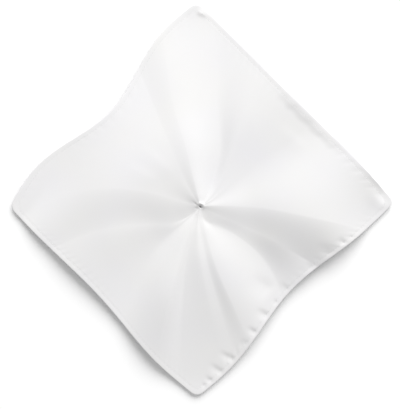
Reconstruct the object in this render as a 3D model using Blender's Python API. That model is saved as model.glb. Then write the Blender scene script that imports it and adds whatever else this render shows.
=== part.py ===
"""A satin pocket square, lying open on a table with its middle nipped into a small pit.

Soft folds run from the pit to the four corners and valleys run to the middles of the sides.
The corners rest on the table and the sides hover a few millimetres over it.
World frame: metres, +Z up, origin on the table under the middle of the cloth's outline.
Lengths in the tables are millimetres and azimuths are degrees, counter-clockwise from +X.
"""
from collections import namedtuple
from math import atan2, cos, degrees, exp, hypot, pi, radians, sin

import bmesh
import bpy

# ---- driving dimensions -------------------------------------------------------------------------
MM = 0.001                  # one millimetre in metres
CLOTH = 1.2                 # thickness of the satin sheet
HEM = 2.0                   # thickness of the turned-under hem
HEM_WIDTH = 5.0             # the hem's width, square to the side
HEM_STEP = 1.0              # width of the slope from the sheet up to the hem
EDGE_ROUND = 0.5            # how far the hem's folded edge is rounded off
HALF_SIDE = 121.0           # from the pit to the middle of a side, square to it
PIT = (-1.4, -6.3)          # where the cloth is nipped, seen from above
PIT_REACH = 6.0             # radius of the pit
PIT_FOOT = 1.5              # radius of the pit's flat bottom
PIT_DEPTH = 2.5             # how far the pit dips below the cloth around it
PIT_LEVEL = 8.8             # height of the cloth around the pit, where all folds meet
COLLAR_AZIMUTH = 75.0       # the side of the pit on which the drawn-in cloth piles up
COLLAR_HEIGHT = 2.0         # how high it piles up
COLLAR_START = 3.0          # distance from the pit at which the pile is full
COLLAR_REACH = 14.0         # distance over which it dies away
CORNER_FLAT = 12.0          # how much of each corner lies flat on the table
CORNER_SOFT = 0.06          # how softly a corner starts to rise, as a share of its ease
CORNER_ROUND = 7.0          # length of side taken up by a corner's rounding
SPOKES_PER_SIDE = 26        # mesh lines from the pit to each side
INNER_RINGS = (2.5, 4.0, 6.0, 12.0)     # radii of the mesh rings around the pit
MIDDLE_RINGS = 13           # mesh rings between those and the hem

# a corner lies flat near its tip and rises from there over its ease; a lean moves the middle of that
# flat patch off the tip, towards an azimuth, so that one side of the corner lies lower than the other
Corner = namedtuple("Corner", "name x y ease lean lean_azimuth")
CORNERS = (
    Corner("right", 173.0, -2.0, 100.0, 60.0, -30.0),
    Corner("top", -4.5, 178.0, 120.0, 0.0, 90.0),
    Corner("left", -172.5, -7.0, 120.0, 120.0, 135.0),
    Corner("bottom", -4.5, -177.5, 120.0, 0.0, 90.0),
)

# each side leaves the straight line between its corners by
# bow * sin(pi t) + skew * sin(2 pi t) + wave * sin(3 pi t), outwards, t running counter-clockwise
Side = namedtuple("Side", "name bow skew wave")
SIDES = (
    Side("upper right", 1.0, 0.4, 0.6),
    Side("upper left", -2.0, -1.4, 7.0),
    Side("lower left", 0.5, -2.0, 1.5),
    Side("lower right", -5.5, 2.0, 3.5),
)

# each fold is a line running out from the pit, through these distances from it
STATIONS = (10.0, 25.0, 50.0, 90.0, 140.0)

# azimuth and height hold one value for each station; crease is 0 for a round fold, 1 for a sharp one
Fold = namedtuple("Fold", "name azimuth height crease")
FOLDS = (
    Fold("right ridge", (3, 1, -1, -5, -8), (9.9, 10.6, 11.6, 18.6, 32.0), 0.2),
    Fold("upper right hollow", (28, 34, 37, 37, 37), (9.2, 9.2, 9.1, 9.9, 10.8), 0),
    Fold("upper right swell", (38, 48, 58, 62, 64), (8.9, 8.9, 9.3, 10.4, 11.0), 0),
    Fold("top valley", (60, 64, 70, 80, 84), (8.3, 7.3, 6.8, 5.8, 4.6), 0.1),
    Fold("top ridge", (104, 104, 104, 105, 103), (9.9, 10.5, 10.2, 7.6, 6.0), 0.3),
    Fold("upper left hollow", (124, 121, 117, 115, 114), (9.5, 9.8, 9.8, 6.9, 3.6), 0.3),
    Fold("left ridge", (164, 164, 165, 170, 179), (8.6, 8.9, 10.4, 15.2, 21), 0.2),
    Fold("left valley", (220, 212, 198, 193, 196), (7.8, 7.1, 7.0, 10.2, 10.0), 0.5),
    Fold("lower left hollow", (224, 219, 218, 228, 237), (7.9, 7.4, 5.5, 4.5, 4.8), 0),
    Fold("lower left ridge", (240, 244, 248, 251, 254), (8.8, 10.0, 11.5, 14.6, 12.0), 0.2),
    Fold("lower left valley", (250, 253, 256, 260, 263), (8.7, 9.6, 9.5, 8.4, 6.5), 0.2),
    Fold("small ridge", (258, 264, 270, 275, 278), (9.0, 10.0, 10.7, 9.2, 6.2), 0.3),
    Fold("small groove", (266, 273, 277, 281, 283), (8.8, 9.7, 10.4, 8.8, 6.2), 0.3),
    Fold("bottom ridge", (276, 281, 284, 288, 290), (8.6, 9.8, 11.0, 10.4, 7.5), 0.3),
    Fold("bottom valley", (284, 314, 322, 317, 303), (8.5, 8.1, 7.4, 5.3, 5.2), 0.3),
    Fold("right hem hollow", (-25, -25, -24, -26, -28), (9.35, 9.2, 8.8, 10.5, 7.5), 1.0),
)

# ---- colours ------------------------------------------------------------------------------------
SATIN_WHITE = (0.86, 0.86, 0.86, 1.0)
SATIN_ROUGHNESS = 0.45


def smooth(amount):
    """Ease from 0 to 1, level at both ends."""
    amount = min(max(amount, 0.0), 1.0)
    return amount * amount * (3.0 - 2.0 * amount)


def along_stations(values, distance):
    """Run a smooth curve through one value at each station, straight on past the last one."""
    last = len(STATIONS) - 1
    if distance >= STATIONS[last]:
        return values[last] + station_slope(values, last) * (distance - STATIONS[last])
    here = max(distance, STATIONS[0])
    first = max(i for i in range(last) if STATIONS[i] <= here)
    span = STATIONS[first + 1] - STATIONS[first]
    share = (here - STATIONS[first]) / span
    rise = values[first + 1] - values[first]
    before = station_slope(values, first) * span
    after = station_slope(values, first + 1) * span
    leaning = share * (1.0 - share) * ((1.0 - share) * (before - rise) - share * (after - rise))
    return values[first] + rise * share + leaning


def station_slope(values, station):
    """Slope of the curve at a station, from its neighbours on both sides."""
    low = max(station - 1, 0)
    high = min(station + 1, len(STATIONS) - 1)
    return (values[high] - values[low]) / (STATIONS[high] - STATIONS[low])


def fold_height_at(fold, distance):
    """Height of a fold's line, starting from the level around the pit."""
    height = along_stations(fold.height, distance)
    if distance < STATIONS[0]:
        height = PIT_LEVEL + (height - PIT_LEVEL) * distance / STATIONS[0]
    return height


def between_folds(share, crease_here, crease_next):
    """Ease from one fold line to the next: level at a round fold, sloping at a creased one."""
    return (smooth(share)
            + crease_here * share * (1.0 - share) ** 2
            - crease_next * share ** 2 * (1.0 - share))


def folded_height(azimuth, distance):
    """Height of the folded sheet at an azimuth and distance from the pit."""
    count = len(FOLDS)
    for index, fold in enumerate(FOLDS):
        following = FOLDS[(index + 1) % count]
        start = along_stations(fold.azimuth, distance)
        end = along_stations(following.azimuth, distance)
        width = (end - start) % 360.0
        turned = (azimuth - start) % 360.0
        if turned < width:
            share = between_folds(turned / width, fold.crease, following.crease)
            low = fold_height_at(fold, distance)
            high = fold_height_at(following, distance)
            return low + (high - low) * share
    raise ValueError(f"no fold covers azimuth {azimuth}")


def pit_relief(dx, dy):
    """How much the collar rises and the pit dips at an offset from the pit's middle."""
    distance = hypot(dx, dy)
    facing = 0.5 + 0.5 * cos(atan2(dy, dx) - radians(COLLAR_AZIMUTH))
    collar = COLLAR_HEIGHT * facing ** 2 * exp(-distance / COLLAR_REACH) * smooth(distance / COLLAR_START)
    return collar - PIT_DEPTH * (1.0 - smooth((distance - PIT_FOOT) / (PIT_REACH - PIT_FOOT)))


def corner_share(corner, x, y):
    """0 on a corner's flat tip, rising almost evenly to 1 over its ease."""
    turn = radians(corner.lean_azimuth)
    off_x = x - corner.x - corner.lean * cos(turn)
    off_y = y - corner.y - corner.lean * sin(turn)
    share = (hypot(off_x, off_y) - corner.lean - CORNER_FLAT) / corner.ease
    share = min(max(share, 0.0), 1.0)
    share = (hypot(share, CORNER_SOFT) - CORNER_SOFT) / (hypot(1.0, CORNER_SOFT) - CORNER_SOFT)
    return share * (1.5 - 0.5 * share ** 2)


def underside(x, y):
    """Height of the cloth's underside: the folds, the pit, and the corners lying on the table."""
    dx = x - PIT[0]
    dy = y - PIT[1]
    height = folded_height(degrees(atan2(dy, dx)), hypot(dx, dy)) + pit_relief(dx, dy)
    for corner in CORNERS:
        height *= corner_share(corner, x, y)
    return max(height, 0.0)


def side_point(number, share):
    """Point of the wavy side that runs from one corner to the next."""
    side = SIDES[number]
    start = CORNERS[number]
    end = CORNERS[(number + 1) % len(CORNERS)]
    run_x = end.x - start.x
    run_y = end.y - start.y
    length = hypot(run_x, run_y)
    out = side.bow * sin(pi * share) + side.skew * sin(2 * pi * share) + side.wave * sin(3 * pi * share)
    return (start.x + run_x * share + out * run_y / length,
            start.y + run_y * share - out * run_x / length)


def rounded_corner(number):
    """Middle point of the rounding at the corner where a side starts."""
    share = CORNER_ROUND / (2.0 * HALF_SIDE)
    after = side_point(number, share)
    before = side_point(number - 1, 1.0 - share)
    corner = CORNERS[number]
    return tuple(0.25 * before[i] + 0.5 * (corner.x, corner.y)[i] + 0.25 * after[i] for i in (0, 1))


def outline():
    """The hem's edge, counter-clockwise, one point for each spoke."""
    points = []
    margin = CORNER_ROUND / (2.0 * HALF_SIDE)
    for number in range(len(SIDES)):
        points.append(rounded_corner(number))
        for step in range(SPOKES_PER_SIDE - 1):
            share = margin + (1.0 - 2.0 * margin) * step / (SPOKES_PER_SIDE - 2)
            points.append(side_point(number, share))
    return points


def ring_shares(reach):
    """Fractions of the way from the pit to the edge at which the mesh rings lie on one spoke."""
    hem_share = 1.0 - (HEM_WIDTH + HEM_STEP) / HALF_SIDE
    step_share = 1.0 - HEM_WIDTH / HALF_SIDE
    inner = [PIT_FOOT / reach] + [radius / reach for radius in INNER_RINGS]
    spread = [inner[-1] + (hem_share - inner[-1]) * (i + 1) / MIDDLE_RINGS for i in range(MIDDLE_RINGS)]
    return inner + spread + [step_share, 1.0 - EDGE_ROUND / HALF_SIDE]


def thickness_at(share):
    """The sheet's thickness, and the hem's from the hem line outwards."""
    step_share = 1.0 - HEM_WIDTH / HALF_SIDE
    return HEM if share > step_share - 1e-9 else CLOTH


def add_layer(mesh, edge, top):
    """Add one side of the cloth as a web of spokes and rings; return its rings and middle vertex."""
    spokes = []
    for x, y in edge:
        reach = hypot(x - PIT[0], y - PIT[1])
        spoke = []
        for share in ring_shares(reach):
            px = PIT[0] + (x - PIT[0]) * share
            py = PIT[1] + (y - PIT[1]) * share
            height = underside(px, py) + (thickness_at(share) if top else 0.0)
            spoke.append(mesh.verts.new((px * MM, py * MM, height * MM)))
        spokes.append(spoke)
    middle_height = PIT_LEVEL - PIT_DEPTH + (CLOTH if top else 0.0)
    middle = mesh.verts.new((PIT[0] * MM, PIT[1] * MM, middle_height * MM))
    return list(zip(*spokes)), middle


def join_rings(mesh, inner, outer, upwards):
    """Fill the band between two rings with quads that face up or down."""
    count = len(inner)
    for i in range(count):
        j = (i + 1) % count
        corners = (inner[i], outer[i], outer[j], inner[j])
        mesh.faces.new(corners if upwards else corners[::-1])


def close_middle(mesh, ring, middle, upwards):
    """Fill the flat bottom of the pit with triangles around its middle."""
    count = len(ring)
    for i in range(count):
        corners = (middle, ring[i], ring[(i + 1) % count])
        mesh.faces.new(corners if upwards else corners[::-1])


def close_edge(mesh, edge, top_ring, bottom_ring):
    """Close the hem's folded edge with a rounded rim at the cloth's full outline."""
    rim = []
    for x, y in edge:
        height = underside(x, y) + HEM / 2.0
        rim.append(mesh.verts.new((x * MM, y * MM, height * MM)))
    join_rings(mesh, top_ring, rim, True)
    join_rings(mesh, bottom_ring, rim, False)


def satin_material():
    """White satin, softly glossy."""
    material = bpy.data.materials.new("white_satin")
    material.use_nodes = True
    shader = material.node_tree.nodes["Principled BSDF"]
    shader.inputs["Base Color"].default_value = SATIN_WHITE
    shader.inputs["Roughness"].default_value = SATIN_ROUGHNESS
    shader.inputs["Metallic"].default_value = 0.0
    return material


def build_pocket_square():
    """The whole cloth with its hem, as one closed sheet."""
    edge = outline()
    mesh = bmesh.new()
    for top in (True, False):
        rings, middle = add_layer(mesh, edge, top)
        close_middle(mesh, rings[0], middle, top)
        for inner, outer in zip(rings, rings[1:]):
            join_rings(mesh, inner, outer, top)
        if top:
            top_ring = rings[-1]
    close_edge(mesh, edge, top_ring, rings[-1])
    for face in mesh.faces:
        face.smooth = True
    bmesh.ops.recalc_face_normals(mesh, faces=mesh.faces)
    data = bpy.data.meshes.new("pocket_square")
    mesh.to_mesh(data)
    mesh.free()
    data.materials.append(satin_material())
    cloth = bpy.data.objects.new("pocket_square", data)
    bpy.context.scene.collection.objects.link(cloth)
    return cloth


def main():
    """Clear the scene and build the cloth with its outline centred on the origin."""
    for old in list(bpy.data.objects):
        bpy.data.objects.remove(old, do_unlink=True)
    cloth = build_pocket_square()
    for axis in (0, 1):
        low = min(vertex.co[axis] for vertex in cloth.data.vertices)
        high = max(vertex.co[axis] for vertex in cloth.data.vertices)
        for vertex in cloth.data.vertices:
            vertex.co[axis] -= (low + high) / 2.0
    size = cloth.dimensions
    print(f"{cloth.name}: {len(cloth.data.polygons)} faces, size {tuple(round(s, 4) for s in size)} m")


main()
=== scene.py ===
# %% [markdown]
# # A white satin pocket square, lying open with a pinched middle
#
# The square is one piece of cloth with a narrow hem turned under on all four sides. Its middle has
# been nipped between finger and thumb, so folds run out from the nip like the spokes of a wheel.
# We draw the cloth as a web of spokes and rings, give each ring point its height from a short
# table of folds, sew the hem with Geometry Nodes, and light it softly from beyond the far corner.
# Sizes are in millimetres and angles in degrees, anticlockwise from the right-hand corner.

# %% Load the frame
from collections import namedtuple

import bpy
import numpy as np
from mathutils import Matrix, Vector


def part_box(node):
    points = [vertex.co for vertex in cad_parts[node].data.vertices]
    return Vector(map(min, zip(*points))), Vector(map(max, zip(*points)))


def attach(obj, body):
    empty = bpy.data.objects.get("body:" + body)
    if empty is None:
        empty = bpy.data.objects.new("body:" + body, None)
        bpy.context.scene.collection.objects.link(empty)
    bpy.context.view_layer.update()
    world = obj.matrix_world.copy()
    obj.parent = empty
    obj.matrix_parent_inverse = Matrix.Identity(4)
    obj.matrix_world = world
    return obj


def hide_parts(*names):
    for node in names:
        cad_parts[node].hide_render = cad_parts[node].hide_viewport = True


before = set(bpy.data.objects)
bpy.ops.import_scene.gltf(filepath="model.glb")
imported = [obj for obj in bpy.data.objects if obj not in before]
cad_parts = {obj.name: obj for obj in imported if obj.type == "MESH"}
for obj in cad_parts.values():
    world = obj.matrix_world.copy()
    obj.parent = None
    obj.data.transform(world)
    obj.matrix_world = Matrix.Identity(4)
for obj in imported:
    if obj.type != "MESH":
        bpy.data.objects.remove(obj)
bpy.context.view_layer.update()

MM = 0.001
solid_low, solid_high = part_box("pocket_square")
print("the solid measures", [round((b - a) / MM, 1) for a, b in zip(solid_low, solid_high)], "mm")

# %% [markdown]
# ## The outline
#
# Cloth never keeps straight sides once it is folded. Each side here leaves the straight line
# between its corners by three sine waves: a bow, a skew and a wave. Three numbers a side are
# enough, and they are easier to change by hand than a list of points. A corner's row also says
# how the folds end there: the height of its tip, and over what length, its ease, the cloth comes
# down to it. The line where that starts can lean to one side. HALF_SIDE is the way from the pit
# straight across to the hem, and it turns a share of a spoke or a side into millimetres.

# %% The outline's sizes
PIT = (-1.4, -6.3)
HALF_SIDE = 121.0
FLAT_SIDE = 254.0

Corner = namedtuple("Corner", "name x y ease lean lean_azimuth tip")
CORNERS = (
    Corner("right", 173.0, -2.0, 100.0, 60.0, -30.0, 2.0),
    Corner("top", -4.5, 178.0, 120.0, 0.0, 90.0, 0.0),
    Corner("left", -172.5, -7.0, 120.0, 120.0, 135.0, 2.0),
    Corner("bottom", -4.5, -177.5, 120.0, 0.0, 90.0, 2.0),
)

Side = namedtuple("Side", "name bow skew wave")
SIDES = (
    Side("upper right", 1.0, 0.4, 0.6),
    Side("upper left", -2.0, -1.4, 7.0),
    Side("lower left", 0.5, -2.0, 1.5),
    Side("lower right", -5.5, 2.0, 3.5),
)
lengths = [np.hypot(CORNERS[i].x - CORNERS[i - 1].x, CORNERS[i].y - CORNERS[i - 1].y) for i in range(4)]
print("from corner to corner the sides measure", np.round(lengths, 1).tolist(), "mm")

# %% [markdown]
# A side is a formula of how far along it a point is, so we can ask for as many points as the web
# needs. The corners are rounded with a short curve, because a turned hem makes a blunt corner.

# %% Draw one side and one corner
POINTS_PER_CORNER = 9


def side_points(number, shares):
    """Points along one wavy side, in millimetres."""
    side = SIDES[number]
    start = np.array(CORNERS[number][1:3])
    end = np.array(CORNERS[(number + 1) % 4][1:3])
    run = end - start
    outward = np.array((run[1], -run[0])) / np.hypot(*run)
    turn = np.pi * shares
    out = side.bow * np.sin(turn) + side.skew * np.sin(2 * turn) + side.wave * np.sin(3 * turn)
    return start + shares[:, None] * run + out[:, None] * outward


def rounded(before, corner, after):
    """A short curve that cuts one corner."""
    share = (np.arange(POINTS_PER_CORNER)[:, None] + 1) / (POINTS_PER_CORNER + 1)
    return (1 - share) ** 2 * before + 2 * share * (1 - share) * corner + share ** 2 * after


print("middles of the sides:", [side_points(i, np.array([0.5]))[0].round(1).tolist() for i in range(4)])

# %% [markdown]
# Going once round gives one point for each spoke. Beside its place on the table we keep its place
# on the flat cut, where the cloth is still a true square. That is what the weave will follow.

# %% Go round the outline
CORNER_ROUND = 7.0
POINTS_PER_SIDE = 226
FLAT_CORNERS = 0.5 + 0.5 * np.array(((1, -1), (1, 1), (-1, 1), (-1, -1)))


def outline():
    """For each spoke: its end, its end on the flat cut, and its side with how far along it is."""
    margin = CORNER_ROUND / (2 * HALF_SIDE)
    shares = np.linspace(margin, 1 - margin, POINTS_PER_SIDE)
    edge = []
    flat = []
    along = []
    for number in range(4):
        run = FLAT_CORNERS[(number + 1) % 4] - FLAT_CORNERS[number]
        run_before = FLAT_CORNERS[number] - FLAT_CORNERS[number - 1]
        side = side_points(number, shares)
        before = side_points(number - 1, shares[-1:])[0]
        edge.extend(rounded(before, np.array(CORNERS[number][1:3]), side[0]))
        edge.extend(side)
        flat.extend(rounded(FLAT_CORNERS[number] - margin * run_before, FLAT_CORNERS[number],
                            FLAT_CORNERS[number] + margin * run))
        flat.extend(FLAT_CORNERS[number] + shares[:, None] * run)
        along.extend(number + np.linspace(0, margin, POINTS_PER_CORNER, endpoint=False))
        along.extend(number + shares)
    return np.array(edge), np.array(flat), np.array(along)


edge_points, edge_flat, edge_along = outline()
print(len(edge_points), "spokes, outline", np.ptp(edge_points, axis=0).round(1), "mm")

# %% [markdown]
# ## The folds
#
# Every fold is a line that starts at the pit and runs out to the hem, so it is enough to say at
# five distances where it lies, its azimuth, and how high it is. A crease of 0 makes a round fold
# and a crease of 1 a sharp one. Cloth could be dropped and simulated instead, but its folds would
# then fall by chance, and these have to lie where they do on this square.

# %% The table of folds
STATIONS = (10.0, 25.0, 50.0, 90.0, 140.0)
PIT_LEVEL = 8.8

Fold = namedtuple("Fold", "name azimuth height crease")
FOLDS = (
    Fold("right ridge", (3, 1, -1, -5, -8), (9.9, 10.6, 11.6, 18.6, 32.0), 0.2),
    Fold("upper right hollow", (28, 34, 37, 37, 37), (9.2, 9.2, 9.1, 9.9, 10.8), 0),
    Fold("upper right swell", (38, 48, 58, 62, 64), (8.9, 8.9, 9.3, 10.4, 11.0), 0),
    Fold("top valley", (60, 64, 70, 80, 84), (8.3, 7.3, 6.8, 5.8, 4.6), 0.1),
    Fold("top ridge", (104, 104, 104, 105, 103), (9.9, 10.5, 10.2, 7.6, 6.0), 0.3),
    Fold("upper left hollow", (124, 121, 117, 115, 114), (9.5, 9.8, 9.8, 6.9, 3.6), 0.3),
    Fold("left ridge", (164, 164, 165, 170, 179), (8.6, 8.9, 10.4, 15.2, 21), 0.2),
    Fold("left valley", (220, 212, 198, 193, 196), (7.8, 7.1, 7.0, 10.2, 10.0), 0.5),
    Fold("lower left hollow", (224, 221, 221, 229, 237), (7.9, 7.4, 5.5, 4.5, 4.8), 0),
    Fold("lower left ridge", (240, 244, 248, 251, 254), (8.8, 10.0, 11.4, 13.8, 13.0), 0.2),
    Fold("lower left valley", (250, 253, 256, 260, 263), (8.7, 9.6, 9.5, 8.4, 6.5), 0.2),
    Fold("small ridge", (258, 264, 270, 275, 278), (9.0, 10.0, 10.7, 9.2, 6.2), 0.3),
    Fold("small groove", (266, 273, 277, 281, 283), (8.8, 9.7, 10.4, 8.8, 6.2), 0.3),
    Fold("bottom ridge", (276, 281, 284, 288, 290), (8.6, 9.8, 11.0, 10.4, 7.5), 0.3),
    Fold("bottom valley", (284, 314, 322, 317, 303), (8.5, 8.1, 7.4, 5.0, 3.4), 0.3),
    Fold("right hem hollow", (-25, -25, -24, -26, -28), (9.35, 9.2, 8.8, 10.3, 6.0), 1.0),
)
print(len(FOLDS), "folds, told at", STATIONS, "mm from the pit")

# %% [markdown]
# Between two stations a fold follows a smooth curve, like a bent spring held at five pegs. Straight
# pieces would show as rings round the pit, because satin gives away every sudden change of slope.

# %% Read a fold between its stations
def smooth(amount):
    """Ease from 0 to 1, level at both ends."""
    amount = np.clip(amount, 0.0, 1.0)
    return amount * amount * (3.0 - 2.0 * amount)


def along_stations(values, distance):
    """A smooth curve through one value at each station, straight on past the last one."""
    last = len(STATIONS) - 1
    slopes = [(values[min(i + 1, last)] - values[max(i - 1, 0)])
              / (STATIONS[min(i + 1, last)] - STATIONS[max(i - 1, 0)]) for i in range(last + 1)]
    here = np.maximum(distance, STATIONS[0])
    result = values[-1] + slopes[-1] * (here - STATIONS[-1])
    for i in reversed(range(last)):
        span = STATIONS[i + 1] - STATIONS[i]
        share = (here - STATIONS[i]) / span
        rise = values[i + 1] - values[i]
        bend = share * (1 - share) * ((1 - share) * (slopes[i] * span - rise)
                                      - share * (slopes[i + 1] * span - rise))
        result = np.where(here < STATIONS[i + 1], values[i] + rise * share + bend, result)
    return result


print("the right ridge is", along_stations(FOLDS[0].height, np.array([70.0])).round(1)[0],
      "mm high 70 mm out, before its corner brings it down")

# %% [markdown]
# Between two neighbouring folds the cloth eases from one height to the next as we turn round the
# pit. Every point of the cloth lies between one pair of folds, so we try the pairs in turn.

# %% Turn from fold to fold
def folded_height(azimuth, distance):
    """Height of the folded sheet at azimuths in degrees and distances from the pit."""
    near = np.minimum(distance / STATIONS[0], 1.0)
    starts = [along_stations(fold.azimuth, distance) for fold in FOLDS]
    heights = [PIT_LEVEL + (along_stations(fold.height, distance) - PIT_LEVEL) * near
               for fold in FOLDS]
    result = np.zeros_like(distance)
    for i, fold in enumerate(FOLDS):
        j = (i + 1) % len(FOLDS)
        turned = (azimuth - starts[i]) % 360.0
        width = (starts[j] - starts[i]) % 360.0
        share = np.clip(turned / width, 0, 1)
        eased = (smooth(share) + fold.crease * share * (1 - share) ** 2
                 - FOLDS[j].crease * share ** 2 * (1 - share))
        result = np.where(turned < width, heights[i] + (heights[j] - heights[i]) * eased, result)
    return result


turn_by_turn = folded_height(np.arange(0.0, 360.0, 60.0), np.full(6, 90.0)).round(1)
print("heights round the pit, 90 mm out:", turn_by_turn.tolist())

# %% [markdown]
# At the corners the folds die out and the cloth lies on the table, or just over it. We measure how
# far a point is from the corner's flat tip and scale its height by that distance. The scale
# climbs straight at first and ends level, so the cloth leaves its tip without a crease.

# %% Bring the corners down
CORNER_FLAT = 12.0
CORNER_SOFT = 0.06


def brought_down(height, x, y):
    """The folded height, eased down to each corner's flat tip."""
    for corner in CORNERS:
        turn = np.radians(corner.lean_azimuth)
        off_x = x - corner.x - corner.lean * np.cos(turn)
        off_y = y - corner.y - corner.lean * np.sin(turn)
        share = np.clip((np.hypot(off_x, off_y) - corner.lean - CORNER_FLAT) / corner.ease, 0, 1)
        share = (np.hypot(share, CORNER_SOFT) - CORNER_SOFT) / (np.hypot(1, CORNER_SOFT) - CORNER_SOFT)
        height = corner.tip + (height - corner.tip) * share * (1.5 - 0.5 * share ** 2)
    return height


tips = brought_down(np.full(4, 15.0), *np.array([corner[1:3] for corner in CORNERS]).T)
print("a 15 mm fold comes down at the four tips to", tips.round(1).tolist(), "mm")

# %% [markdown]
# ## The pit
#
# Where the cloth is nipped it drops into a small slot. On its far side the cloth that was drawn
# in rolls over into a lip, and a low collar falls away behind the lip. The slot is longer than it
# is wide, so it is measured with an ellipse that is turned a little.

# %% The pit's sizes
PIT_LONG = 2.1
PIT_WIDE = 1.0
PIT_TURN = -35.0
PIT_DEPTH = 3.2
LIP_AZIMUTH = 75.0
LIP_HEIGHT = 0.55
LIP_AT = 2.9
LIP_WIDTH = 1.2
COLLAR_HEIGHT = 2.0
COLLAR_REACH = 14.0
COLLAR_START = 3.0


def pit_relief(dx, dy):
    """How much the lip and collar rise and the pit drops."""
    turn = np.radians(PIT_TURN)
    along = (dx * np.cos(turn) + dy * np.sin(turn)) / PIT_LONG
    across = (-dx * np.sin(turn) + dy * np.cos(turn)) / PIT_WIDE
    drop = PIT_DEPTH * (1 - smooth(np.hypot(along, across)))
    distance = np.hypot(dx, dy)
    facing = 0.5 + 0.5 * np.cos(np.arctan2(dy, dx) - np.radians(LIP_AZIMUTH))
    lip = LIP_HEIGHT * facing * np.exp(-((distance - LIP_AT) / LIP_WIDTH) ** 2)
    collar = (COLLAR_HEIGHT * facing ** 2 * np.exp(-distance / COLLAR_REACH)
              * smooth(distance / COLLAR_START))
    return lip + collar - drop


def cloth_height(x, y):
    """Height of the cloth above the table, in millimetres."""
    dx = x - PIT[0]
    dy = y - PIT[1]
    height = folded_height(np.degrees(np.arctan2(dy, dx)), np.hypot(dx, dy)) + pit_relief(dx, dy)
    return np.maximum(brought_down(height, x, y), 0.0)


print("the pit's bottom is", cloth_height(*np.array(PIT)[:, None]).round(1)[0], "mm over the table")

# %% [markdown]
# ## Puckers
#
# The hem's thread is drawn tighter than the cloth, and the cloth that is left over gathers into
# short dents that point at the hem. Each has a row here: its middle, the way its deep end points,
# and its size. The first rows are two little wings beside the pit, then a fold in the right corner,
# a tuck in the top corner and three faint wrinkles. The fold, the tuck and the wrinkles stand up
# instead of down, so their depth is negative. Rows given one by one look more like sewing than a
# repeated dent does, because no two gathers on a real hem are alike.

# %% The table of puckers
Pucker = namedtuple("Pucker", "name x y points_to length width depth")
PUCKERS = (
    Pucker("wing above the pit", -6.5, -3.0, -41, 7, 1.4, 0.30),
    Pucker("wing below the pit", -5.0, -7.6, -20, 5, 1.2, 0.25),
    Pucker("right corner fold", 156.5, 1.0, -49, 30, 9.0, -0.7),
    Pucker("top corner tuck", 2.4, 166.6, 159, 18, 5.0, -0.7),
    Pucker("left wrinkle", -55.8, 23.0, -26, 42, 15.0, -0.22),
    Pucker("upper left wrinkle", -42.3, 35.0, -40, 50, 15.0, -0.22),
    Pucker("upper right wrinkle", 77.4, 56.0, -40, 44, 14.0, -0.22),
    Pucker("lower right end", 133.2, -32.9, -50, 6, 3.7, 0.25),
    Pucker("lower right 1", 125.1, -36.5, -60, 10, 4.8, 0.56),
    Pucker("lower right broad", 110.2, -45.0, -25, 26, 11.5, 0.62),
    Pucker("lower right 2", 96.2, -60.9, -45, 12, 6.9, 0.44),
    Pucker("lower right 3", 91.2, -69.9, -45, 6, 3.4, 0.38),
    Pucker("lower right 4", 81.0, -77.9, -45, 8, 4.1, 0.38),
    Pucker("lower right 5", 74.2, -78.9, -45, 16, 6.9, 0.44),
    Pucker("lower right 6", 65.7, -91.4, -45, 8, 3.9, 0.38),
    Pucker("lower right 7", 54.3, -101.9, -27, 18, 6.9, 0.69),
    Pucker("lower right 8", 45.5, -117.5, -28, 16, 4.8, 0.69),
    Pucker("lower right 9", 37.8, -127.4, -45, 9, 5.8, 0.38),
    Pucker("lower right 10", 22.5, -140.4, -26, 21, 5.1, 0.69),
    Pucker("lower right 11", 13.3, -152.1, -34, 21, 5.3, 0.69),
    Pucker("lower right 12", 6.8, -161.6, -25, 13, 3.9, 0.69),
    Pucker("lower right 13", 1.8, -166.5, -30, 8, 3.4, 0.50),
    Pucker("soft dapple", 52.2, -75.0, -35, 29, 15.0, 0.6),
)
print(len(PUCKERS), "puckers, the longest", max(row.length for row in PUCKERS), "mm")

# %% [markdown]
# A pucker deepens slowly from its shallow end and stops short at its deep end. Across, it is a
# soft hollow with one side steeper than the other.

# %% Press in the puckers
PUCKER_STEEP = 1.0
PUCKER_GENTLE = 1.7
PUCKER_NARROW = 1.5
PUCKER_DEEPENS = 1.3
PUCKER_STOPS = 0.6


def pucker_depth(x, y):
    """How deep the puckers are at a point."""
    depth = np.zeros_like(x)
    for row in PUCKERS:
        turn = np.radians(row.points_to)
        along = ((x - row.x) * np.cos(turn) + (y - row.y) * np.sin(turn)) / (row.length / 2)
        across = (-(x - row.x) * np.sin(turn) + (y - row.y) * np.cos(turn)) / (row.width / 2)
        across = across / np.where(across > 0, PUCKER_STEEP, PUCKER_GENTLE)
        ends = smooth((along + 1) / PUCKER_DEEPENS) * smooth((1 - along) / PUCKER_STOPS)
        depth += row.depth * ends * np.exp(-PUCKER_NARROW * across ** 2)
    return depth


middles = np.array([(row.x, row.y) for row in PUCKERS]).T
print("deepest pucker", pucker_depth(*middles).max().round(2), "mm")

# %% [markdown]
# ## The hem
#
# A pocket square's hem is rolled under and sewn down, so in section it is a soft roll along the
# edge, with a groove beside it where the thread pulls it tight. A Solidify modifier would give the
# sheet one thickness all over. Here each row of the profile says how far in from the edge a ring
# of the web lies and how high it is above the underside of the hem, so the roll can be shaped.

# %% The hem's section
SHEET = 0.35
HEM_LAYERS = 0.7
UNDERSIDE = 0.3

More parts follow.
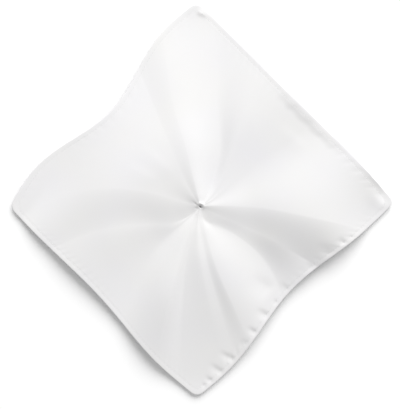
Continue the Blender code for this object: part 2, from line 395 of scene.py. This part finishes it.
Ring = namedtuple("Ring", "name inward height")
HEM_TOP = (
    Ring("sheet beside the hem", 6.8, HEM_LAYERS + SHEET),
    Ring("inner fold", 5.8, 1.07),
    Ring("inside of the stitches", 5.0, 1.06),
    Ring("stitch groove", 4.4, 1.00),
    Ring("outside of the stitches", 3.8, 1.06),
    Ring("flank", 1.8, 1.06),
    Ring("crown", 0.8, 1.09),
    Ring("shoulder", 0.35, 1.04),
    Ring("upper edge", 0.1, 0.92),
    Ring("edge", 0.0, 0.7),
)
HEM_UNDER = (
    Ring("lower edge", 0.12, 0.35),
    Ring("lower shoulder", 0.5, 0.08),
    Ring("lower crown", 2.0, 0.0),
    Ring("stitch groove below", 4.4, 0.12),
    Ring("turned edge", 5.2, 0.05),
    Ring("turned edge's side", 5.5, 0.35),
    Ring("sheet below", 6.8, 0.4),
)
print("the hem is", HEM_UNDER[4].inward, "mm wide and",
      max(ring.height for ring in HEM_TOP), "mm thick")

# %% [markdown]
# The hem doesn't lie dead straight either. In places it curls up a little. A curl's row gives
# where it starts and ends, counted in sides from the right-hand corner, how far in from the edge
# it begins and is done, and its rise. Its inner border wanders in small scallops.

# %% Curl the hem
Curl = namedtuple("Curl", "name start end inner outer rise")
CURLS = (
    Curl("right corner, upper edge", 0.0, 0.2, 1.8, 0.6, 0.35),
    Curl("upper right side", 0.24, 0.60, 11.0, 3.0, 0.8),
    Curl("left corner, upper edge", 1.88, 2.0, 4.0, 0.8, 0.35),
)
CURL_FADE = 0.1
SCALLOP = 0.8
SCALLOPS_PER_SIDE = 17
SCALLOP_SHIFT = 3
SCALLOP_SHIFTS = 9


def curled(inward):
    """Height that the curls add to every spoke of one ring."""
    wander = SCALLOP * np.sin(2 * np.pi * SCALLOPS_PER_SIDE * edge_along
                              + SCALLOP_SHIFT * np.sin(SCALLOP_SHIFTS * edge_along))
    height = np.zeros_like(edge_along)
    for curl in CURLS:
        shown = (smooth((edge_along - curl.start) / CURL_FADE)
                 * smooth((curl.end - edge_along) / CURL_FADE))
        border = curl.inner + wander * curl.outer / (1 + curl.outer)
        height += curl.rise * shown * smooth((border - inward) / (curl.inner - curl.outer))
    return height


print("the hem's edge curls up by", curled(0.0).max().round(2), "mm at most")

# %% [markdown]
# Along the stitches the cloth ripples, tighter on one side than on the next. Sine waves whose
# pace and depth drift a little look sewn, and a plain sine would look like corrugated card.

# %% Ripple the cloth beside the stitches
Ripple = namedtuple("Ripple", "name length depth")
RIPPLES = (
    Ripple("upper right", 9.0, 0.12),
    Ripple("upper left", 11.0, 0.06),
    Ripple("lower left", 7.0, 0.09),
    Ripple("lower right", 8.0, 0.12),
)
RIPPLE_SHIFT = 1.7
RIPPLE_SHIFT_LENGTH = 13.0
RIPPLE_USUAL = 0.6
RIPPLE_CHANGE = 0.4
RIPPLE_CHANGE_LENGTH = 21.0
RIPPLE_ENDS = 12
RIPPLE_STARTS_IN = 1.5
RIPPLE_STARTS_OVER = 3.0
RIPPLE_FADES_IN = 6.0
RIPPLE_FADES_OVER = 7.0


def rippled(inward):
    """Depth of the ripples, for every spoke of one ring."""
    side = np.minimum(edge_along.astype(int), 3)
    gone = edge_along - side
    run = gone * 2 * HALF_SIDE
    length = np.array([ripple.length for ripple in RIPPLES])[side]
    depth = np.array([ripple.depth for ripple in RIPPLES])[side]
    wave = np.sin(2 * np.pi * run / length
                  + RIPPLE_SHIFT * np.sin(run / RIPPLE_SHIFT_LENGTH + side))
    depth = depth * (RIPPLE_USUAL + RIPPLE_CHANGE * np.sin(run / RIPPLE_CHANGE_LENGTH + 2 * side))
    away_from_corners = np.clip(gone * (1 - gone) * RIPPLE_ENDS, 0, 1)
    zone = (smooth((inward - RIPPLE_STARTS_IN) / RIPPLE_STARTS_OVER)
            * (1 - smooth((inward - RIPPLE_FADES_IN) / RIPPLE_FADES_OVER)))
    return depth * away_from_corners * zone * (0.5 + 0.5 * wave) ** 2


print("ripples up to", rippled(HEM_TOP[1].inward).max().round(2), "mm deep")

# %% [markdown]
# ## The cloth's web
#
# The top and the underside are two webs that share the hem's folded edge, so the cloth is one
# closed skin. The rings are close together where the shape is fine, at the pit and beside the
# hem, and wider apart between. A grid of squares would be simpler, but its lines would cross the
# folds at odd angles and show as steps, while these spokes run along the folds.

# %% Lay out the rings
TOP_SPACINGS = ((14, 0.45), (10, 1.3), (21, 3.3), (18, 1.25))
UNDER_SPACINGS = ((7, 0.9), (4, 3.5), (6, 10.0), (10, 3.5))
PUCKER_FADE = 5.0


def sheet_shares(spacings):
    """Shares of a spoke for rings between the pit and the hem."""
    reach = np.cumsum(np.concatenate([np.full(count, step) for count, step in spacings]))
    return reach / reach[-1] * (1 - HEM_TOP[0].inward / HALF_SIDE)


def web_ring(share, above):
    """One ring of points and their places on the flat cut."""
    ring = np.array(PIT) + (edge_points - np.array(PIT)) * share
    inward = (1 - share) * HALF_SIDE
    height = cloth_height(ring[:, 0], ring[:, 1]) + (curled(inward) - rippled(inward)) + above
    height -= pucker_depth(ring[:, 0], ring[:, 1]) * smooth(inward / PUCKER_FADE)
    return np.column_stack((ring, height)), 0.5 + (edge_flat - 0.5) * share


def cloth_rings():
    """All rings from the middle of the top, over the edge, to the middle of the underside."""
    rows = [(share, HEM_LAYERS + SHEET) for share in sheet_shares(TOP_SPACINGS)[:-1]]
    rows += [(1 - ring.inward / HALF_SIDE, ring.height) for ring in (*HEM_TOP, *HEM_UNDER)]
    rows += [(share, UNDERSIDE) for share in sheet_shares(UNDER_SPACINGS)[-2::-1]]
    rings = [web_ring(*row) for row in rows]
    return [ring for ring, _ in rings], [flat for _, flat in rings]


web_rings, web_flats = cloth_rings()
highest = max(ring[:, 2].max() for ring in web_rings)
print(len(web_rings), "rings, the highest point", highest.round(1), "mm")

# %% [markdown]
# Neighbouring rings are joined by four-sided faces, and each web is closed in the middle by a fan
# of triangles. Each point keeps its place on the flat cut as a UV, so the weave follows the cloth
# through its folds.

# %% Build the cloth
web_centre = (edge_points.max(axis=0) + edge_points.min(axis=0)) / 2


def web_faces(rings, spokes):
    """Faces between the rings, and a fan at each end."""
    here = np.arange(spokes)
    following = (here + 1) % spokes
    faces = []
    for ring in range(rings - 1):
        a = ring * spokes
        b = a + spokes
        faces.extend(zip(a + here, b + here, b + following, a + following))
    top_middle = rings * spokes
    last_ring = top_middle - spokes
    faces.extend(zip([top_middle] * spokes, here, following))
    faces.extend(zip([top_middle + 1] * spokes, last_ring + following, last_ring + here))
    return [tuple(int(i) for i in face) for face in faces]


def build_cloth(name, rings, flats):
    """The closed skin of the cloth as a mesh object, in place."""
    middle_height = cloth_height(*np.array(PIT)[:, None])[0]
    middle = np.array([(*PIT, middle_height + above) for above in (HEM_LAYERS + SHEET, UNDERSIDE)])
    points = np.concatenate((*rings, middle))
    flat = np.concatenate((*flats, ((0.5, 0.5), (0.5, 0.5))))
    points[:, :2] -= web_centre
    mesh = bpy.data.meshes.new(name)
    mesh.from_pydata((points * MM).tolist(), [], web_faces(len(rings), len(edge_points)))
    uv = mesh.uv_layers.new(name="cut")
    loops = np.zeros(len(mesh.loops), dtype=np.int32)
    mesh.loops.foreach_get("vertex_index", loops)
    uv.data.foreach_set("uv", flat[loops].ravel())
    mesh.shade_smooth()
    mesh.validate()
    cloth = bpy.data.objects.new(name, mesh)
    bpy.context.scene.collection.objects.link(cloth)
    return cloth


cloth = build_cloth("satin_square", web_rings, web_flats)
size = [round(side / MM, 1) for side in cloth.dimensions]
print("cloth:", len(cloth.data.polygons), "faces, size", size, "mm")

# %% [markdown]
# ## The stitches
#
# One line of small stitches holds the hem, 3 mm apart, and shows on both faces. The thread is as
# white as the cloth and sinks half into the groove. We take the groove's two rings from the web,
# so the stitches lie in it wherever the cloth goes.

# %% The line to sew along
def ring_named(name):
    """One ring of the hem, by its name in the section."""
    names = [ring.name for ring in (*HEM_TOP, *HEM_UNDER)]
    return web_rings[sum(count for count, _ in TOP_SPACINGS) - 1 + names.index(name)]


def ring_path(name, rings):
    """The closed lines that the stitches follow, as a mesh of edges."""
    lines = [ring - np.array((*web_centre, 0.0)) for ring in rings]
    edges = []
    for number, line in enumerate(lines):
        start = number * len(line)
        edges += [(start + i, start + (i + 1) % len(line)) for i in range(len(line))]
    mesh = bpy.data.meshes.new(name)
    mesh.from_pydata((np.concatenate(lines) * MM).tolist(), edges, [])
    path = bpy.data.objects.new(name, mesh)
    bpy.context.scene.collection.objects.link(path)
    return path


stitch_path = ring_path("stitch_path", [ring_named("stitch groove"), ring_named("stitch groove below")])
print("the stitches follow", len(stitch_path.data.edges), "short edges")

# %% [markdown]
# Stitches repeat along a path, so Geometry Nodes lay them: the path is cut into equal steps and
# each step gets one short bead of thread, turned along the path. The tree has named inputs for
# every size, so the same tree could sew a coarser hem, and a seed keeps the small unevenness the
# same every time. The bead is one unit across, so its scale is its size. The tree ends by turning
# the beads into real faces and giving them the thread.

# %% The stitch tree
BEAD_SEGMENTS = 8
BEAD_RINGS = 6
STITCH_SIZES = ("Pitch", "Stitch length", "Thread", "Unevenness")
STITCH_NODES = (
    ("given", "NodeGroupInput"), ("curve", "GeometryNodeMeshToCurve"),
    ("steps", "GeometryNodeResampleCurve"), ("bead", "GeometryNodeMeshUVSphere"),
    ("tangent", "GeometryNodeInputTangent"), ("turn", "FunctionNodeAlignRotationToVector"),
    ("size", "ShaderNodeCombineXYZ"), ("random", "FunctionNodeRandomValue"),
    ("least", "ShaderNodeMath"), ("most", "ShaderNodeMath"), ("uneven", "ShaderNodeVectorMath"),
    ("sew", "GeometryNodeInstanceOnPoints"), ("smooth", "GeometryNodeSetShadeSmooth"),
    ("real", "GeometryNodeRealizeInstances"), ("thread", "GeometryNodeSetMaterial"),
    ("made", "NodeGroupOutput"),
)
STITCH_LINKS = (
    ("given", "Path", "curve", "Mesh"), ("curve", "Curve", "steps", "Curve"),
    ("given", "Pitch", "steps", "Length"), ("tangent", "Tangent", "turn", "Vector"),
    ("given", "Stitch length", "size", "X"), ("given", "Thread", "size", "Y"),
    ("given", "Thread", "size", "Z"), ("given", "Unevenness", "least", 1),
    ("given", "Unevenness", "most", 1), ("least", 0, "random", 2), ("most", 0, "random", 3),
    ("given", "Seed", "random", "Seed"), ("size", "Vector", "uneven", 0),
    ("random", 1, "uneven", "Scale"), ("steps", "Curve", "sew", "Points"),
    ("bead", "Mesh", "sew", "Instance"), ("turn", "Rotation", "sew", "Rotation"),
    ("uneven", 0, "sew", "Scale"), ("sew", "Instances", "smooth", "Geometry"),
    ("smooth", "Geometry", "real", "Geometry"), ("real", "Geometry", "thread", "Geometry"),
    ("given", "Material", "thread", "Material"), ("thread", "Geometry", "made", "Stitches"),
)


def stitch_tree():
    """Geometry Nodes that sew beads of thread along a mesh of edges."""
    tree = bpy.data.node_groups.new("hem stitches", "GeometryNodeTree")
    face = tree.interface
    face.new_socket("Path", in_out="INPUT", socket_type="NodeSocketGeometry")
    for name in STITCH_SIZES:
        face.new_socket(name, in_out="INPUT", socket_type="NodeSocketFloat")
    face.new_socket("Seed", in_out="INPUT", socket_type="NodeSocketInt")
    face.new_socket("Material", in_out="INPUT", socket_type="NodeSocketMaterial")
    face.new_socket("Stitches", in_out="OUTPUT", socket_type="NodeSocketGeometry")
    node = {key: tree.nodes.new(kind) for key, kind in STITCH_NODES}
    node["steps"].mode = "LENGTH"
    node["bead"].inputs["Segments"].default_value = BEAD_SEGMENTS
    node["bead"].inputs["Rings"].default_value = BEAD_RINGS
    node["bead"].inputs["Radius"].default_value = 0.5
    node["turn"].axis = "X"
    node["random"].data_type = "FLOAT"
    for key, operation in (("least", "SUBTRACT"), ("most", "ADD")):
        node[key].operation = operation
        node[key].inputs[0].default_value = 1.0
    node["uneven"].operation = "SCALE"
    for start, out, end, into in STITCH_LINKS:
        tree.links.new(node[start].outputs[out], node[end].inputs[into])
    return tree


sewing = stitch_tree()
print("the stitch tree has", len(sewing.nodes), "nodes and", len(sewing.links), "links")

# %% [markdown]
# The tree runs as a modifier. Its inputs are set before Blender first works it out, and then the
# result is kept as a plain mesh, because that is what can be saved as the finished piece.

# %% Run the stitch tree
STITCH_PITCH = 3.0
STITCH_LENGTH = 2.3
THREAD = 0.32
STITCH_UNEVEN = 0.12
STITCH_SEED = 5


def sewn(name, path, material):
    """Run the stitch tree on a path and keep the result as a plain mesh."""
    modifier = path.modifiers.new("sew", "NODES")
    modifier.node_group = sewing
    sockets = {socket.name: socket.identifier for socket in sewing.interface.items_tree
               if socket.in_out == "INPUT"}
    modifier[sockets["Pitch"]] = STITCH_PITCH * MM
    modifier[sockets["Stitch length"]] = STITCH_LENGTH * MM
    modifier[sockets["Thread"]] = THREAD * MM
    modifier[sockets["Unevenness"]] = STITCH_UNEVEN
    modifier[sockets["Seed"]] = STITCH_SEED
    modifier[sockets["Material"]] = material
    depsgraph = bpy.context.evaluated_depsgraph_get()
    mesh = bpy.data.meshes.new_from_object(path.evaluated_get(depsgraph))
    bpy.data.objects.remove(path)
    mesh.name = name
    result = bpy.data.objects.new(name, mesh)
    bpy.context.scene.collection.objects.link(result)
    return result


print("each stitch is", STITCH_LENGTH, "mm long, give or take", round(100 * STITCH_UNEVEN), "per cent")

# %% [markdown]
# ## Satin and thread
#
# Satin is woven with long floats of thread that lie side by side, so it is smooth and has a soft
# sheen rather than a glitter. A picture of cloth could be laid over it, but it would blur close
# up. Patterns that are worked out stay sharp, and these small helpers make them: a noise, a map
# from that noise to a range, and a bump. A noise is broad or fine by how many smaller layers of
# itself are added to it.

# %% Helpers for the materials
BROAD, MEDIUM, FINE = 1.0, 2.0, 3.0
EVEN = (1, 1)


def principled(name):
    """A new material with its nodes, links and shader."""
    material = bpy.data.materials.new(name)
    material.use_nodes = True
    tree = material.node_tree
    return material, tree.nodes, tree.links, tree.nodes["Principled BSDF"]


def noise(nodes, links, where, scale, stretch, detail):
    """Noise, stretched along one or the other thread direction."""
    mapping = nodes.new("ShaderNodeMapping")
    mapping.inputs["Scale"].default_value = (*stretch, 1)
    links.new(where, mapping.inputs["Vector"])
    node = nodes.new("ShaderNodeTexNoise")
    node.inputs["Scale"].default_value = scale
    node.inputs["Detail"].default_value = detail
    links.new(mapping.outputs["Vector"], node.inputs["Vector"])
    return node.outputs["Fac"]


def remap(nodes, links, source, low, high):
    """A map from a 0 to 1 output to the range low to high."""
    node = nodes.new("ShaderNodeMapRange")
    node.inputs["To Min"].default_value = low
    node.inputs["To Max"].default_value = high
    links.new(source, node.inputs["Value"])
    return node.outputs["Result"]


def bump(nodes, links, source, strength, depth):
    """A bump node of the given depth in millimetres."""
    node = nodes.new("ShaderNodeBump")
    node.inputs["Strength"].default_value = strength
    node.inputs["Distance"].default_value = depth * MM
    links.new(source, node.inputs["Height"])
    return node


print("helpers ready:", ", ".join(helper.__name__ for helper in (principled, noise, remap, bump)))

# %% [markdown]
# Faint ribs run across the flat cut, a few slightly thicker yarns show as streaks, and the colour
# and the gloss change slowly from place to place. All of it reads the cut's UV, so the weave
# bends with the folds. Blender's wave texture has 20 / (2 * pi) waves in each unit of its scale,
# so we divide by that to get ribs that are RIB millimetres apart.

# %% The satin
SATIN_COLOUR = (0.740, 0.735, 0.738)
COLOUR_UNEVEN = 0.012
COLOUR_SCALE = 7.0
CAST_UNEVEN = 0.018
CAST_SCALE = 3.0
SATIN_ROUGH = 0.45
SATIN_SPECULAR = 0.6
GLOSS_UNEVEN = 0.05
GLOSS_SCALE = 11.0
GLOSS_STRETCH = (1, 2)
RIB = 2.827
RIB_DEPTH = 0.02
RIB_STRENGTH = 0.25
RIB_WANDER = 0.4
YARN_SCALE = 30.0
YARN_STRETCH = (0.5, 9)
YARN_DEPTH = 0.06
YARN_STRENGTH = 0.4
WAVES_PER_UNIT = 20 / (2 * np.pi)


def satin():
    """White satin that follows the flat cut."""
    material, nodes, links, shader = principled("white_satin_weave")
    uv = nodes.new("ShaderNodeUVMap")
    uv.uv_map = "cut"
    cut = uv.outputs["UV"]
    slow = noise(nodes, links, cut, COLOUR_SCALE, EVEN, FINE)
    cast = noise(nodes, links, cut, CAST_SCALE, EVEN, BROAD)
    tint = nodes.new("ShaderNodeCombineColor")
    for channel, value, source, uneven in zip(
            ("Red", "Green", "Blue"), SATIN_COLOUR, (slow, slow, cast),
            (COLOUR_UNEVEN, COLOUR_UNEVEN, CAST_UNEVEN)):
        links.new(remap(nodes, links, source, value - uneven, value + uneven), tint.inputs[channel])
    links.new(tint.outputs["Color"], shader.inputs["Base Color"])
    gloss = noise(nodes, links, cut, GLOSS_SCALE, GLOSS_STRETCH, MEDIUM)
    links.new(remap(nodes, links, gloss, SATIN_ROUGH - GLOSS_UNEVEN, SATIN_ROUGH + GLOSS_UNEVEN),
              shader.inputs["Roughness"])
    shader.inputs["Specular IOR Level"].default_value = SATIN_SPECULAR
    rib = nodes.new("ShaderNodeTexWave")
    rib.bands_direction = "Y"
    rib.inputs["Scale"].default_value = FLAT_SIDE / RIB / WAVES_PER_UNIT
    rib.inputs["Distortion"].default_value = RIB_WANDER
    links.new(cut, rib.inputs["Vector"])
    rib_bump = bump(nodes, links, rib.outputs["Fac"], RIB_STRENGTH, RIB_DEPTH)
    yarn = noise(nodes, links, cut, YARN_SCALE, YARN_STRETCH, MEDIUM)
    yarn_bump = bump(nodes, links, yarn, YARN_STRENGTH, YARN_DEPTH)
    links.new(rib_bump.outputs["Normal"], yarn_bump.inputs["Normal"])
    links.new(yarn_bump.outputs["Normal"], shader.inputs["Normal"])
    return material


cloth.data.materials.append(satin())
print("satin with ribs", RIB, "mm apart and", RIB_DEPTH, "mm deep")

# %% [markdown]
# The sewing thread is rounder than the weave and less glossy. It is twisted, so its colour and
# gloss change a little along it.

# %% The thread
THREAD_COLOURS = (0.66, 0.76)
THREAD_ROUGH = (0.5, 0.65)
TWIST_SCALE = 900.0


def thread():
    """White sewing thread, twisted, so its colour changes a little along it."""
    material, nodes, links, shader = principled("white_thread")
    place = nodes.new("ShaderNodeTexCoord").outputs["Object"]
    twist = noise(nodes, links, place, TWIST_SCALE, EVEN, BROAD)
    tint = nodes.new("ShaderNodeCombineColor")
    for channel in ("Red", "Green", "Blue"):
        links.new(remap(nodes, links, twist, *THREAD_COLOURS), tint.inputs[channel])
    links.new(tint.outputs["Color"], shader.inputs["Base Color"])
    links.new(remap(nodes, links, twist, *THREAD_ROUGH), shader.inputs["Roughness"])
    return material


stitches = sewn("hem_stitches", stitch_path, thread())
print("stitches:", len(stitches.data.polygons), "faces")

# %% [markdown]
# ## Attaching the pieces
#
# Both pieces lie still with the cloth, and the cloth stands in for the solid of the same square.

# %% Attach the pieces
for piece in (cloth, stitches):
    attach(piece, "root")
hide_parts("pocket_square")
print("pieces:", cloth.name, "and", stitches.name)

# %% [markdown]
# ## The table
#
# The square lies on a plain white table, which takes its soft shadow. The table is a hair lower
# than the cloth's lowest corner, so the two don't flicker where they touch.

# %% Lay the table
TABLE_SIZE = 6.0
TABLE_DROP = 0.1
TABLE_COLOUR = (0.94, 0.94, 0.94)
TABLE_ROUGH = 0.9
TABLE_SPECULAR = 0.1

bpy.ops.mesh.primitive_plane_add(size=TABLE_SIZE, location=(0, 0, -TABLE_DROP * MM))
table = bpy.context.object
table.name = "table"
white_table, _, _, table_shader = principled("white_table")
table_shader.inputs["Base Color"].default_value = (*TABLE_COLOUR, 1)
table_shader.inputs["Roughness"].default_value = TABLE_ROUGH
table_shader.inputs["Specular IOR Level"].default_value = TABLE_SPECULAR
table.data.materials.append(white_table)
print("a table of", TABLE_SIZE, "m")

# %% [markdown]
# ## The light
#
# White cloth shows its folds only by shading. One big soft light beyond the far corner lights
# every fold on one side, and white surroundings fill the shadows, so nothing turns grey or hard.

# %% Set up the light
LIGHT_AZIMUTH = 72.0
LIGHT_HEIGHT = 31.0
LIGHT_DISTANCE = 4.0
LIGHT_WIDTH = 6.0
LIGHT_TALL = 3.4
LIGHT_POWER = 262.0
SURROUNDINGS = 0.53

azimuth = np.radians(LIGHT_AZIMUTH)
height = np.radians(LIGHT_HEIGHT)
direction = Vector((np.cos(azimuth) * np.cos(height), np.sin(azimuth) * np.cos(height), np.sin(height)))
lamp = bpy.data.lights.new("window", "AREA")
lamp.shape = "ELLIPSE"
lamp.size = LIGHT_WIDTH
lamp.size_y = LIGHT_TALL
lamp.energy = LIGHT_POWER
window = bpy.data.objects.new("window", lamp)
window.location = direction * LIGHT_DISTANCE
window.rotation_euler = direction.to_track_quat("Z", "Y").to_euler()
bpy.context.scene.collection.objects.link(window)

world = bpy.data.worlds.new("surroundings")
world.use_nodes = True
world.node_tree.nodes["Background"].inputs["Color"].default_value = (1, 1, 1, 1)
world.node_tree.nodes["Background"].inputs["Strength"].default_value = SURROUNDINGS
bpy.context.scene.world = world
bpy.context.scene.view_settings.view_transform = "Standard"
print("light from", LIGHT_AZIMUTH, "degrees,", LIGHT_HEIGHT, "degrees over the table")

# %% [markdown]
# ## The camera
#
# The camera looks straight down. A long lens from high up keeps the cloth's raised parts from
# leaning outwards, and its distance follows from the height of table that it should take in.

# %% Place the camera
LENS = 120.0
PICTURE_HEIGHT = 0.3681
PICTURE_CENTRE = (-0.0018, -0.0045)
FARTHEST = 20.0

camera = bpy.data.cameras.new("camera")
camera.lens = LENS
camera.clip_end = FARTHEST
viewer = bpy.data.objects.new("camera", camera)
viewer.location = (*PICTURE_CENTRE, PICTURE_HEIGHT * LENS / camera.sensor_width)
bpy.context.scene.collection.objects.link(viewer)
bpy.context.scene.camera = viewer
print("the camera is", round(viewer.location.z, 2), "m over the table")
